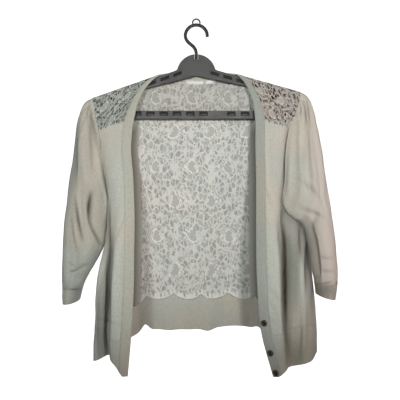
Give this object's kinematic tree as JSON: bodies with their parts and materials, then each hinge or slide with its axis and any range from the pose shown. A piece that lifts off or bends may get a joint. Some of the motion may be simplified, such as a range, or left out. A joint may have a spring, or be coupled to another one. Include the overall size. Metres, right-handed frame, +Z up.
{
  "type": "cardigan on a hanger",
  "caption": "Open-front knit cardigan with gathered three-quarter sleeves, lace shoulder yokes and a lace back, hung on a slotted plastic hanger.",
  "frame": {"origin": "inside of the hook's crown, where the hanger rests on a rail", "axes": "+Z up, -Y the garment's front, +X the picture's right (the wearer's left)"},
  "size_m": [0.5751, 0.1775, 0.7212],
  "materials": {
    "knit": "fine ivory knit",
    "rib": "fine ivory rib",
    "lace": "floral lace on net",
    "label": "blank woven tape",
    "button": "dark, slightly glossy",
    "plastic": "satin grey"
  },
  "bodies": {
    "root": {"front_left": "knit", "front_right": "knit", "front_band_left": "knit", "front_band_right": "knit", "neck_band_back": "knit", "sleeve_left": "knit", "sleeve_right": "knit", "front_hem_rib_left": "rib", "front_hem_rib_right": "rib", "back_hem_rib": "rib", "cuff_left": "rib", "cuff_right": "rib", "yoke_left": "lace", "yoke_right": "lace", "back_lace": "lace", "neck_label": "label", "size_label": "label", "button_1": "button", "button_2": "button", "button_3": "button", "hanger_body": "plastic", "hanger_hook": "plastic", "hook_eye": "plastic"}
  },
  "joints": []
}
